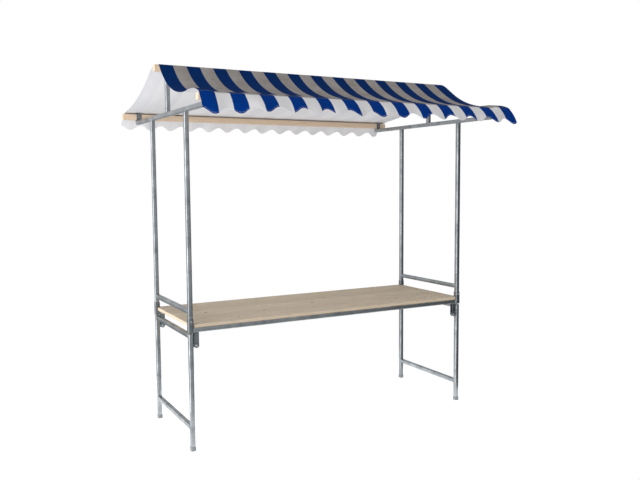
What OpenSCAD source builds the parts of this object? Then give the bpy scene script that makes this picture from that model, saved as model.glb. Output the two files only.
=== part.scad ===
// Market stall: a galvanised square-tube frame that folds its legs under a plank table,
// with two plug-in end frames that carry three wooden laths and a striped canvas canopy.
// +X runs along the counter, +Y to the seller's side, +Z up. The origin is on the ground,
// under the middle of the stall. All sizes are in millimetres.

/* [Frame] */
// Outside length over the two end frames
frame_l = 2300; // [1600:10:2600]
// Outside depth over the front and rear posts
frame_d = 812; // [600:2:1000]
// Outside size of the square steel tube
tube = 30; // [25:1:40]
// Height of the leg tops above the ground
leg_top = 804; // [700:1:900]
// Underside of the low bar between two legs
low_bar_z = 147; // [80:1:300]
// Underside of the roof beams
beam_z = 2276; // [1900:1:2400]
// Half the length of a roof beam, from the ridge plane to its end
beam_reach = 816; // [700:1:820]

/* [Table] */
// Clear height between the leg tops and the corner sockets
leg_gap = 6; // [5:0.5:12]
// Height of the table rails' underside above the sockets' underside
rail_lift = 4; // [0:1:10]
// Thickness of the table boards
board_t = 24; // [18:1:30]
// Gap between neighbouring boards
board_gap = 2; // [1:0.5:5]
// Distance from the outer post face to a board's end
board_end_inset = 14; // [8:1:18]
// Distance from the outer post face to the table's front and rear edges
board_side_inset = 4; // [0:1:10]
// Place of each cross bar, from the middle of the table
cross_bar_x = 400; // [250:10:600]

/* [Sockets and end frames] */
// Outside size of a corner socket
socket_w = 36; // [34:1:42]
// Height of a corner socket
socket_h = 96; // [80:1:140]
// Thickness of the plate that closes a socket's lower end
socket_floor = 6; // [3:1:10]
// Gap on each side between a post and its socket
socket_play = 0.3; // [0.1:0.1:0.8]
// Underside of the end rail above the table
end_rail_z = 938; // [900:1:1100]

/* [Leg hinges] */
// Distance from a leg's inner face to its hinge axis
pivot_inset = 22; // [20:0.5:30]
// Distance of the hinge axis below the leg tops
pivot_drop = 80; // [50:1:120]
// Radius of the rounded bracket end about the hinge axis
bracket_r = 17; // [12:0.5:17]
// Thickness of the bracket plates
bracket_t = 4; // [3:0.5:5]
// Radius of the hinge knuckle on the leg
knuckle_r = 12; // [8:0.5:14]
// Gap between the knuckle and each bracket plate
knuckle_gap = 1; // [0.5:0.5:2]
// Radius of the pivot bolt
bolt_r = 5; // [4:0.5:6]
// Clearance between the bolt and the knuckle's bore, on the radius
bolt_play = 0.05; // [0.02:0.01:0.1]
// Radius of the bolt's head and nut
bolt_head_r = 8; // [7:0.5:10]
// Thickness of the bolt's head and nut
bolt_head_t = 4; // [3:0.5:6]

/* [Feet] */
// Outside size of a foot cap
foot_w = 35; // [33:1:42]
// Height of a foot cap
foot_h = 30; // [15:1:50]
// Thickness of a foot cap's sole
sole_t = 4; // [2:1:8]

/* [Roof] */
// Length of the laths
lath_l = 2475; // [2300:5:2700]
// Side of the square laths
lath = 44; // [36:1:50]
// How far the front lath lies to the right of the middle
front_lath_shift = 40; // [-40:1:40]
// How far the ridge lath lies to the right of the middle
ridge_lath_shift = 10; // [-40:1:40]
// How far the rear lath lies to the right of the middle
rear_lath_shift = -22; // [-40:1:40]
// Distance from the ridge plane to the middle of an eave lath
eave_y = 796; // [700:1:820]
// Height of the king posts above the roof beams
king_post_h = 272; // [150:1:400]
// Thickness of the lath bracket strip
strap_t = 4; // [3:0.5:6]
// Width of the lath bracket strip
strap_w = 36; // [25:1:50]
// Gap above and beside a lath inside its bracket
strap_play = 1; // [0.5:0.5:4]

/* [Canopy] */
// Place of the canopy's left edge
canopy_left = -1198; // [-1240:1:-1160]
// Place of the canopy's right edge
canopy_right = 1260; // [1160:1:1270]
// Thickness of the canopy sheet as a solid
canopy_t = 3; // [2:0.5:5]
// Deepest sag of a slope below its straight line
canopy_sag = 76; // [20:1:90]
// Depth of the valance at its lowest points
valance_low = 120; // [100:1:160]
// Depth of the valance at its highest points
valance_high = 76; // [60:1:95]
// How far the valance's lowest points stand out from the eave
valance_flare = 118; // [0:1:130]
// Length of one scallop
scallop_l = 168; // [120:1:200]
// Distance from the canopy's left edge to the first low point
first_low = 74; // [0:1:100]

/* [Hidden] */
$fn = 48;
left = -1;
right = 1;
front = -1;
rear = 1;
steel = "#a3a8ab";
dark_steel = "#8b9092";
pine = "#c4b197";
lath_pine = "#cdb08c";
canvas_blue = "#12366f";
canvas_white = "#d9d9d7";
black_plastic = "#26282a";
// Tube centre lines at the corners
corner_x = (frame_l - tube) / 2;
corner_y = (frame_d - tube) / 2;
// Heights of the table
socket_z = leg_top + leg_gap;
rail_z = socket_z + rail_lift;
board_z = rail_z + tube;
board_n = 5;
table_d = frame_d - 2 * board_side_inset;
board_w = (table_d - (board_n - 1) * board_gap) / board_n;
// Hinge axis, seen from the middle of the stall
pivot_x = corner_x - tube / 2 - pivot_inset;
pivot_z = leg_top - pivot_drop;
knuckle_w = tube - 2 * (bracket_t + knuckle_gap);
// Roof heights
beam_top = beam_z + tube;
king_top = beam_top + king_post_h;
eave_lath_z = beam_top + strap_t;
ridge_lath_z = king_top + strap_t;
eave_bracket_top = eave_lath_z + lath + strap_play + strap_t;
// Canopy: the outer face runs from the ridge lath's edge to the eave
skin_gap = 0.5;
ridge_skin_z = ridge_lath_z + lath + skin_gap + canopy_t;
eave_skin_z = eave_bracket_top + skin_gap + canopy_t;
eave_skin_y = eave_y + lath / 2 + strap_play + strap_t + skin_gap + canopy_t;
slope_start = lath / 2;
slope_steps = 16;
wave_steps = 8;
over = 1;

// A square tube's body between two points on one axis, given its lowest corner and its size
module bar(corner, size) {
    color(steel)
        translate(corner)
            cube(size);
}

// A long rail between the sockets of one side
module table_rail(side) {
    rail_l = 2 * corner_x - socket_w;
    bar([-rail_l / 2, side * corner_y - tube / 2, rail_z], [rail_l, tube, tube]);
}

// Two bars that tie the front rail to the rear rail under the boards
module table_cross_bars() {
    bar_l = 2 * corner_y - tube;
    for (end = [left, right])
        bar([end * cross_bar_x - tube / 2, -bar_l / 2, rail_z], [tube, bar_l, tube]);
}

// A corner socket: a wider tube with a floor, that a post stands in
module socket(end, side) {
    bore = tube + 2 * socket_play;
    color(dark_steel)
        translate([end * corner_x, side * corner_y, socket_z])
            difference() {
                translate([-socket_w / 2, -socket_w / 2, 0])
                    cube([socket_w, socket_w, socket_h]);
                translate([-bore / 2, -bore / 2, socket_floor])
                    cube([bore, bore, socket_h]);
            }
}

// Outline of a bracket plate in the XZ plane, about the hinge axis
module bracket_outline() {
    rise = rail_z - pivot_z;
    difference() {
        union() {
            circle(r = bracket_r);
            translate([-bracket_r, 0])
                square([2 * bracket_r, rise]);
        }
        circle(r = bolt_r);
    }
}

// A U-shaped bracket under a rail: two plates with a top web between them
module hinge_bracket(end, side) {
    rise = rail_z - pivot_z;
    translate([end * pivot_x, side * corner_y, pivot_z]) {
        for (face = [front, rear])
            translate([0, face * (tube - bracket_t) / 2 + bracket_t / 2, 0])
                rotate([90, 0, 0])
                    linear_extrude(height = bracket_t)
                        bracket_outline();
        translate([-bracket_r, -tube / 2, rise - bracket_t])
            cube([2 * bracket_r, tube, bracket_t]);
    }
}

// The two brackets of one leg frame
module hinge_brackets(end) {
    color(dark_steel)
        for (side = [front, rear])
            hinge_bracket(end, side);
}

// The two pivot bolts of one leg frame, each with its head and nut
module pivot_bolts(end) {
    shank_l = tube + 2 * bolt_head_t;
    color(steel)
        for (side = [front, rear])
            translate([end * pivot_x, side * corner_y, pivot_z])
                rotate([90, 0, 0]) {
                    cylinder(h = shank_l, r = bolt_r, center = true);
                    for (face = [front, rear])
                        translate([0, 0, face * (tube + bolt_head_t) / 2])
                            cylinder(h = bolt_head_t, r = bolt_head_r, center = true);
                }
}

// One table board, cut back at the corners where the sockets stand
module table_board(index) {
    board_l = frame_l - 2 * board_end_inset;
    start_y = -table_d / 2 + (index - 1) * (board_w + board_gap);
    notch = socket_w + 2 * board_side_inset;
    color(pine)
        difference() {
            translate([-board_l / 2, start_y, board_z])
                cube([board_l, board_w, board_t]);
            for (end = [left, right], side = [front, rear])
                translate([end * corner_x - notch / 2, side * corner_y - notch / 2, board_z - over])
                    cube([notch, notch, board_t + 2 * over]);
        }
}

// A post of an end frame, from its socket's floor to the roof beam
module post(end, side) {
    foot_z = socket_z + socket_floor;
    bar([end * corner_x - tube / 2, side * corner_y - tube / 2, foot_z], [tube, tube, beam_z - foot_z]);
}

// The rail between the two posts of an end frame, above the table
module end_rail(end) {
    bar_l = 2 * corner_y - tube;
    bar([end * corner_x - tube / 2, -bar_l / 2, end_rail_z], [tube, bar_l, tube]);
}

// The beam across the post tops, from eave to eave
module roof_beam(end) {
    bar([end * corner_x - tube / 2, -beam_reach, beam_z], [tube, 2 * beam_reach, tube]);
}

// The short post that lifts the ridge lath
module king_post(end) {
    bar([end * corner_x - tube / 2, -tube / 2, beam_top], [tube, tube, king_post_h]);
}

// A closed strap around an eave lath, standing on the roof beam
module eave_strap() {
    hole_w = lath + 2 * strap_play;
    strap_h = eave_bracket_top - beam_top;
    difference() {
        translate([-strap_w / 2, -hole_w / 2 - strap_t, 0])
            cube([strap_w, hole_w + 2 * strap_t, strap_h]);
        translate([-strap_w / 2 - over, -hole_w / 2, strap_t])
            cube([strap_w + 2 * over, hole_w, lath + strap_play]);
    }
}

// An open U under the ridge lath, standing on the king post
module ridge_cradle() {
    hole_w = lath + 2 * strap_play;
    cheek_h = strap_t + lath * 0.7;
    difference() {
        translate([-strap_w / 2, -hole_w / 2 - strap_t, 0])
            cube([strap_w, hole_w + 2 * strap_t, cheek_h]);
        translate([-strap_w / 2 - over, -hole_w / 2, strap_t])
            cube([strap_w + 2 * over, hole_w, cheek_h]);
    }
}

// The three lath brackets of one end frame
module lath_brackets(end) {
    color(dark_steel) {
        for (side = [front, rear])
            translate([end * corner_x, side * eave_y, beam_top])
                eave_strap();
        translate([end * corner_x, 0, king_top])
            ridge_cradle();
    }
}

// A wooden lath along X
module lath_bar(shift, y, z) {
    color(lath_pine)
        translate([shift - lath_l / 2, y - lath / 2, z])
            cube([lath_l, lath, lath]);
}

// Sag below the straight line at a fraction u of the way from the ridge to the eave.
// It is deepest at 0.4 of the way, where the factor reaches 1.
function sag(u) = canopy_sag * u * pow(1 - u, 1.5) / (0.4 * pow(0.6, 1.5));
function slope_y(u) = slope_start + u * (eave_skin_y - slope_start);
function slope_z(u) = ridge_skin_z + u * (eave_skin_z - ridge_skin_z) - sag(u);

// One slope of the canopy, from the middle of the ridge lath to the eave edge
module canopy_slope(side) {
    outer = concat([[0, ridge_skin_z]],
        [for (i = [0 : slope_steps]) [slope_y(i / slope_steps), slope_z(i / slope_steps)]]);
    inner = [for (i = [len(outer) - 1 : -1 : 0]) [outer[i][0], outer[i][1] - canopy_t]];
    color(canvas_blue)
        mirror([0, side == front ? 1 : 0, 0])
            translate([canopy_left, 0, 0])
                rotate([90, 0, 90])
                    linear_extrude(height = canopy_right - canopy_left)
                        polygon(concat(outer, inner));
}

// Depth of the valance at a distance s from the canopy's left edge
function valance_depth(s) =
    (valance_low + valance_high) / 2
    + (valance_low - valance_high) / 2 * cos(360 * (s - first_low) / scallop_l);

// The scalloped strip that hangs outwards from an eave edge
module valance(side) {
    cloth_l = canopy_right - canopy_left;
    steps = round(cloth_l / scallop_l * wave_steps);
    edge = [for (i = [0 : steps]) [i * cloth_l / steps, -valance_depth(i * cloth_l / steps)]];
    edge_y = eave_skin_y - canopy_t;
    color(canvas_white)
        mirror([0, side == front ? 1 : 0, 0])
            translate([canopy_left, 0, eave_skin_z - canopy_t])
                intersection() {
                    rotate([90, 0, 90])
                        linear_extrude(height = cloth_l)
                            polygon([
                                [edge_y, 0], [eave_skin_y, 0],
                                [eave_skin_y + valance_flare, -valance_low],
                                [edge_y + valance_flare, -valance_low]
                            ]);
                    translate([0, eave_skin_y + valance_flare + over, 0])
                        rotate([90, 0, 0])
                            linear_extrude(height = valance_flare + canopy_t + 2 * over)
                                polygon(concat([[cloth_l, 0], [0, 0]], edge));
                }
}

// A leg with its hinge knuckle on the inner face
module leg(end, side) {
    color(steel)
        translate([end * corner_x, side * corner_y, 0])
            difference() {
                union() {
                    translate([-tube / 2, -tube / 2, sole_t])
                        cube([tube, tube, leg_top - sole_t]);
                    translate([-end * (tube / 2 + pivot_inset), 0, pivot_z])
                        rotate([90, 0, 0])
                            cylinder(h = knuckle_w, r = knuckle_r, center = true);
                    translate([-end * (tube + pivot_inset) / 2, 0, pivot_z])
                        cube([pivot_inset, knuckle_w, 2 * knuckle_r], center = true);
                }
                translate([-end * (tube / 2 + pivot_inset), 0, pivot_z])
                    rotate([90, 0, 0])
                        cylinder(h = tube, r = bolt_r + bolt_play, center = true);
            }
}

// A bar between the two legs of one end
module leg_bar(end, z) {
    bar_l = 2 * corner_y - tube;
    bar([end * corner_x - tube / 2, -bar_l / 2, z], [tube, bar_l, tube]);
}

// The two foot caps of one leg frame, pushed over the tube ends
module foot_caps(end) {
    color(black_plastic)
        for (side = [front, rear])
            translate([end * corner_x, side * corner_y, 0])
                difference() {
                    translate([-foot_w / 2, -foot_w / 2, 0])
                        cube([foot_w, foot_w, foot_h]);
                    translate([-tube / 2, -tube / 2, sole_t])
                        cube([tube, tube, foot_h]);
                }
}

table_rail(front);  // front_table_rail
table_rail(rear);  // rear_table_rail
table_cross_bars();
socket(left, front);  // front_left_socket
socket(right, front);  // front_right_socket
socket(left, rear);  // rear_left_socket
socket(right, rear);  // rear_right_socket
hinge_brackets(left);  // left_hinge_brackets
hinge_brackets(right);  // right_hinge_brackets
pivot_bolts(left);  // left_pivot_bolts
pivot_bolts(right);  // right_pivot_bolts
table_board(1);  // table_board_1
table_board(2);  // table_board_2
table_board(3);  // table_board_3
table_board(4);  // table_board_4
table_board(5);  // table_board_5
post(left, front);  // front_left_post
post(right, front);  // front_right_post
post(left, rear);  // rear_left_post
post(right, rear);  // rear_right_post
end_rail(left);  // left_end_rail
end_rail(right);  // right_end_rail
roof_beam(left);  // left_roof_beam
roof_beam(right);  // right_roof_beam
king_post(left);  // left_king_post
king_post(right);  // right_king_post
lath_brackets(left);  // left_lath_brackets
lath_brackets(right);  // right_lath_brackets
lath_bar(front_lath_shift, -eave_y, eave_lath_z);  // front_eave_lath
lath_bar(rear_lath_shift, eave_y, eave_lath_z);  // rear_eave_lath
lath_bar(ridge_lath_shift, 0, ridge_lath_z);  // ridge_lath
canopy_slope(front);  // front_canopy
canopy_slope(rear);  // rear_canopy
valance(front);  // front_valance
valance(rear);  // rear_valance
leg(left, front);  // front_left_leg
leg(left, rear);  // rear_left_leg
leg(right, front);  // front_right_leg
leg(right, rear);  // rear_right_leg
leg_bar(left, leg_top - tube);  // left_leg_top_bar
leg_bar(right, leg_top - tube);  // right_leg_top_bar
leg_bar(left, low_bar_z);  // left_leg_low_bar
leg_bar(right, low_bar_z);  // right_leg_low_bar
foot_caps(left);  // left_foot_caps
foot_caps(right);  // right_foot_caps
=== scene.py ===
"""Looks of a market stall: a galvanised square-tube frame that folds its legs under a plank
table, with two end frames that carry three wooden laths and a striped canvas canopy.

Lengths are in metres, in the stall's own frame: +X runs along the counter, +Y to the seller's
side, +Z up, and the origin is on the ground under the middle of the stall.
"""
import logging
import math
from dataclasses import dataclass
from enum import Enum

import bpy
import numpy as np
from mathutils import Matrix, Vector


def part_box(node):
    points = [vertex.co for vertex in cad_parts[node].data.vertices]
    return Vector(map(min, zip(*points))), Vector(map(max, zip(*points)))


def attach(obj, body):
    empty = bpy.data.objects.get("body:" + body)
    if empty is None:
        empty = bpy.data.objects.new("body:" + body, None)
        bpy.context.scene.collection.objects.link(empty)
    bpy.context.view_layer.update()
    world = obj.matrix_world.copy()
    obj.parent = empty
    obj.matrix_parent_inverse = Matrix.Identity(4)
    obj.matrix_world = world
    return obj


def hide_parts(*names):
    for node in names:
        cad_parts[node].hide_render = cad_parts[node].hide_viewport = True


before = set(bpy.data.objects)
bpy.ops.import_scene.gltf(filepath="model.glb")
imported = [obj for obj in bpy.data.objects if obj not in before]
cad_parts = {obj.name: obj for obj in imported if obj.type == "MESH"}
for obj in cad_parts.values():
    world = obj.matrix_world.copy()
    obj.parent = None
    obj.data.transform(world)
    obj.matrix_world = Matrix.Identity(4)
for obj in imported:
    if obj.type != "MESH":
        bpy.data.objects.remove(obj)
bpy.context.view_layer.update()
Array = np.ndarray
Material = bpy.types.Material
Piece = bpy.types.Object
Socket = bpy.types.NodeSocket
LOG = logging.getLogger("market_stall")
SHARP_ANGLE = math.radians(38)
CLOTH_SHARP_ANGLE = math.radians(60)
FULL_TURN = 2 * math.pi
RIVET = ((0.0045, -0.0005), (0.0045, 0.0006), (0.0036, 0.0019), (0.0015, 0.0024))


class Axis(Enum):
    """The axis that a bar, a bolt or a board runs along."""

    X = 0
    Y = 1
    Z = 2


class Named(Enum):
    """A choice whose name is part of the CAD nodes' names."""

    @property
    def word(self) -> str:
        """The name in lower case."""
        return self.name.lower()


class End(Named):
    """One end of the stall, with the sign of its X."""

    LEFT = -1
    RIGHT = 1


class Side(Named):
    """The buyer's side or the seller's side, with the sign of its Y."""

    FRONT = -1
    REAR = 1


class Mouth(Enum):
    """How a tube ends: welded flat to another part, closed by a plate, or open."""

    BUTTED = "butted"
    PLATED = "plated"
    OPEN = "open"


class Slot(Enum):
    """The record's material slots."""

    TUBE = "galvanised_tube"
    FITTING = "galvanised_fitting"
    BOLT = "zinc_bolt"
    TABLE = "table_pine"
    LATH = "lath_pine"
    CANVAS = "striped_canvas"
    FOOT = "foot_plastic"


# ---------------------------------------------------------------- nodes and finishes


def linear(hex_colour: str) -> tuple[float, float, float, float]:
    """Turns an sRGB hex colour into the linear colour that a shader takes.

    Args:
        hex_colour: six hex digits after a number sign.

    Returns:
        Red, green, blue and an alpha of 1.
    """
    raw = np.array([int(hex_colour[i : i + 2], 16) for i in (1, 3, 5)]) / 255
    made = np.where(raw <= 0.04045, raw / 12.92, ((raw + 0.055) / 1.055) ** 2.4)
    return (float(made[0]), float(made[1]), float(made[2]), 1.0)


def add_node(
    tree: bpy.types.NodeTree,
    kind: str,
    inputs: dict | None = None,
    stops: tuple = (),
    **settings: object,
) -> bpy.types.Node:
    """Adds one node with its settings and links.

    Args:
        tree: the node tree it goes into.
        kind: the node's type, without the leading word ShaderNode.
        inputs: socket name or number, and the value, hex colour or output that feeds it.
        stops: places and hex colours of a colour ramp, in order.
        settings: the node's own properties.

    Returns:
        The new node.
    """
    node = tree.nodes.new("ShaderNode" + kind)
    for name, value in settings.items():
        setattr(node, name, value)
    for socket, value in (inputs or {}).items():
        if isinstance(value, Socket):
            tree.links.new(value, node.inputs[socket])
        else:
            made = linear(value) if isinstance(value, str) else value
            node.inputs[socket].default_value = made
    if stops:
        marks = node.color_ramp.elements
        while len(marks) < len(stops):
            marks.new(0.5)
        for mark, (place, colour) in zip(marks, stops):
            mark.position, mark.color = place, linear(colour)
    return node


class Graph:
    """The node tree of a material or the world, with short ways to add its usual nodes.

    Each short way returns the new node's output. A value is a number or an output, and a
    colour is a hex colour or an output.
    """

    def __init__(self, owner: bpy.types.ID) -> None:
        """Empties the owner's node tree."""
        owner.use_nodes = True
        self.owner, self.tree = owner, owner.node_tree
        self.tree.nodes.clear()

    @classmethod
    def of_material(cls, name: str) -> "Graph":
        """Makes a new material with an empty tree."""
        return cls(bpy.data.materials.new(name))

    def place(self, kind: str = "Object") -> Socket:
        """Adds coordinates, by default those of the object."""
        return add_node(self.tree, "TexCoord").outputs[kind]

    def cloth(self) -> tuple[Socket, Socket, Socket]:
        """Adds the cloth's flat coordinates.

        Returns:
            Both as one output, the one across and the one down.
        """
        both = add_node(self.tree, "UVMap", uv_map="cloth").outputs[0]
        parts = add_node(self.tree, "SeparateXYZ", {0: both}).outputs
        return both, parts[0], parts[1]

    def noise(
        self, at: object, scale: float, detail: float, rough: float = 0.5, output: int = 0
    ) -> Socket:
        """Adds noise. Output 0 is its value and output 1 its colour."""
        inputs = {"Vector": at, "Scale": scale, "Detail": detail, "Roughness": rough}
        return add_node(self.tree, "TexNoise", inputs).outputs[output]

    def math(self, operation: str, first: object, second: object = 0.0) -> Socket:
        """Adds one operation on one or two values."""
        return add_node(self.tree, "Math", {0: first, 1: second}, operation=operation).outputs[0]

    def vector(self, operation: str, *values: object, output: int = 0) -> Socket:
        """Adds one operation on vectors. Output 1 is its value."""
        inputs = dict(enumerate(values))
        return add_node(self.tree, "VectorMath", inputs, operation=operation).outputs[output]

    def mapping(
        self,
        at: object,
        location: tuple = (0.0, 0.0, 0.0),
        rotation: tuple = (0.0, 0.0, 0.0),
        scale: tuple = (1.0, 1.0, 1.0),
    ) -> Socket:
        """Adds a move of coordinates."""
        inputs = {"Vector": at, "Location": location, "Rotation": rotation, "Scale": scale}
        return add_node(self.tree, "Mapping", inputs).outputs[0]

    def span(
        self,
        value: object,
        low: float,
        high: float,
        start: float = 0.0,
        end: float = 1.0,
        way: str = "LINEAR",
    ) -> Socket:
        """Adds a change of range, from low and high to start and end."""
        inputs = {0: value, 1: low, 2: high, 3: start, 4: end}
        return add_node(self.tree, "MapRange", inputs, interpolation_type=way).outputs[0]

    def ramp(self, value: object, *stops: tuple[float, str]) -> Socket:
        """Adds a colour ramp."""
        return add_node(self.tree, "ValToRGB", {0: value}, stops=stops).outputs[0]

    def mix(self, share: object, first: object, second: object, blend: str = "MIX") -> Socket:
        """Adds a mix of two colours."""
        inputs = {0: share, 6: first, 7: second}
        return add_node(self.tree, "Mix", inputs, data_type="RGBA", blend_type=blend).outputs[2]

    def stripes(self, over: Socket, stripe: float) -> Socket:
        """Adds stripes: 1 where the part after the point of the place over two is under half."""
        pairs = self.math("MULTIPLY", over, 0.5 / stripe)
        return self.math("LESS_THAN", self.math("FRACT", pairs), 0.5)

    def finish(self, sockets: dict, relief: object, depth: float) -> Material:
        """Adds the surface shader over a relief, and the output.

        Args:
            sockets: the shader's sockets, with values or outputs.
            relief: the height pattern's output, from 0 to 1.
            depth: the relief's depth in metres.

        Returns:
            The material.
        """
        height = {"Height": relief, "Distance": depth, "Strength": 1.0}
        bump = add_node(self.tree, "Bump", height).outputs[0]
        shader = add_node(self.tree, "BsdfPrincipled", {**sockets, "Normal": bump})
        add_node(self.tree, "OutputMaterial", {"Surface": shader.outputs[0]})
        return self.owner


@dataclass(frozen=True)
class GalvanisedSteel:
    """Hot-dip galvanised steel: mild steel tube dipped in zinc. The eye sees a dull grey metal
    with large cloudy patches, and close by the flaky crystals of the zinc."""

    name: str
    bright: str
    dull: str
    crystal_mm: float = 7.0
    cloud_mm: float = 90.0
    smooth: float = 0.26
    rough: float = 0.36

    def make(self) -> Material:
        """Builds the material.

        Each zinc crystal is one cell of a cell pattern with its own grey. Clouds of white
        oxide lie over them. The colour runs from dull to bright with seven parts of cloud
        to one of crystal.

        Returns:
            The material.
        """
        graph = Graph.of_material(self.name)
        place = graph.place()
        wander = graph.noise(place, 260.0, 2.0, output=1)
        shifted = graph.vector("MULTIPLY_ADD", wander, (0.004, 0.004, 0.004), place)
        cells = {"Vector": shifted, "Scale": 1000 / self.crystal_mm}
        crystal = add_node(graph.tree, "TexVoronoi", cells).outputs["Color"]
        grey = add_node(graph.tree, "SeparateColor", {0: crystal}).outputs[0]
        cloud = graph.noise(place, 1000 / self.cloud_mm, 2.0, 0.55)
        shares = {0: 0.12, 2: graph.span(cloud, 0.25, 0.75), 3: grey}
        both = add_node(graph.tree, "Mix", shares, data_type="FLOAT").outputs[0]
        colour = graph.ramp(both, (0.12, self.dull), (0.88, self.bright))
        roughness = graph.span(cloud, 0.3, 0.7, self.rough, self.smooth)
        sockets = {"Base Color": colour, "Metallic": 1.0, "Roughness": roughness}
        return graph.finish(sockets, graph.noise(place, 180.0, 1.0), 0.00001)


@dataclass(frozen=True)
class ZincBolt:
    """Bright zinc plate on turned steel bolts and screws. The eye sees a cool, smooth metal with
    fine turning marks."""

    name: str = "bright zinc plated steel"
    colour: str = "#c3c6ca"
    shade: str = "#a7abb0"

    def make(self) -> Material:
        """Builds the material: fine noise varies the roughness, and gives a shallow relief.

        Returns:
            The material.
        """
        graph = Graph.of_material(self.name)
        marks = graph.noise(graph.place(), 900.0, 3.0)
        roughness = graph.span(marks, 0.3, 0.7, 0.22, 0.4)
        tint = graph.ramp(marks, (0.3, self.shade), (0.7, self.colour))
        sockets = {"Base Color": tint, "Metallic": 1.0, "Roughness": roughness}
        return graph.finish(sockets, marks, 0.00002)


@dataclass(frozen=True)
class MouldedPlastic:
    """Moulded polyethylene of the tube plugs and foot caps, black or grey. The eye sees a soft,
    scuffed surface with a fine grain."""

    name: str = "moulded black polyethylene"
    dark: str = "#17181a"
    worn: str = "#3a3c3e"

    def make(self) -> Material:
        """Builds the material: scuffs 6 mm across lighten it, over a 0.4 mm grain.

        Returns:
            The material.
        """
        graph = Graph.of_material(self.name)
        place = graph.place()
        colour = graph.ramp(graph.noise(place, 160.0, 6.0), (0.42, self.dark), (0.75, self.worn))
        sockets = {"Base Color": colour, "Roughness": 0.5, "IOR": 1.5}
        return graph.finish(sockets, graph.noise(place, 2500.0, 1.0), 0.00006)


@dataclass(frozen=True)
class Knot:
    """A knot in a board: its place along and across the stall, and its radius, in metres."""

    x: float
    y: float
    radius: float


@dataclass(frozen=True)
class Pine:
    """Planed pine, sawn from a log whose pith runs along the board. The eye sees soft lengthwise
    lines on the faces, the same rings as arcs on the ends, and a few knots."""

    name: str
    early: str
    late: str
    grey: str
    pith: tuple[float, float]
    ring_mm: float
    seed: float
    weathering: float
    knots: tuple[Knot, ...]
    knot_dark: str = "#4c3322"
    knot_pale: str = "#7d5a3d"
    knot_stretch: float = 1.35

    def make(self) -> Material:
        """Builds the material.

        The ring number is the distance from the pith, bent by slow noise and pushed aside
        by each knot, over the ring width. The part after the point runs from early to
        late wood. Fibres are noise stretched along the board.

        Returns:
            The material.
        """
        graph = Graph.of_material(self.name)
        place = graph.place()
        origin = (self.seed * 1.7, -self.pith[0], -self.pith[1])
        moved = graph.mapping(place, origin, (0.0, 0.022, 0.012))
        bend = graph.noise(graph.mapping(moved, scale=(1.3, 9.0, 9.0)), 1.0, 3.0, output=1)
        bent = graph.vector("MULTIPLY_ADD", bend, (0.0, 0.026, 0.026), moved)
        flat = graph.vector("MULTIPLY", bent, (0.0, 1.0, 1.0))
        radius = graph.vector("LENGTH", flat, output=1)
        knot_mask: object = 0.0
        for knot in self.knots:
            along, across = 1 / (self.knot_stretch * knot.radius), 1 / knot.radius
            away = graph.mapping(
                place, (-knot.x * along, -knot.y * across, 0.0), scale=(along, across, 0.0)
            )
            far = graph.vector("LENGTH", away, output=1)
            core = graph.span(far, 0.75, 1.15, 1.0, 0.0, "SMOOTHSTEP")
            halo = graph.span(far, 0.0, 4.5, knot.radius * 1.1, 0.0, "SMOOTHSTEP")
            radius = graph.math("ADD", radius, halo)
            knot_mask = graph.math("MAXIMUM", knot_mask, core)
        part = graph.math("FRACT", graph.math("MULTIPLY", radius, 1000 / self.ring_mm))
        rings = graph.ramp(
            part, (0.0, self.early), (0.62, self.early), (0.9, self.late), (1.0, self.early)
        )
        fibre = graph.noise(graph.mapping(moved, scale=(9.0, 520.0, 520.0)), 1.0, 3.0, 0.6)
        tone = graph.noise(graph.mapping(moved, scale=(2.2, 60.0, 60.0)), 1.0, 4.0)
        shade = graph.ramp(fibre, (0.3, "#c9c4be"), (0.62, "#ffffff"))
        grained = graph.mix(0.55, rings, shade, "MULTIPLY")
        weather = graph.span(tone, 0.35, 0.72, 0.1 * self.weathering, self.weathering)
        greyed = graph.mix(weather, grained, self.grey)
        knotted = graph.mix(fibre, self.knot_dark, self.knot_pale)
        colour = graph.mix(knot_mask, greyed, knotted)
        sockets = {"Base Color": colour, "Roughness": 0.62, "IOR": 1.45}
        return graph.finish(sockets, fibre, 0.00012)


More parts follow.
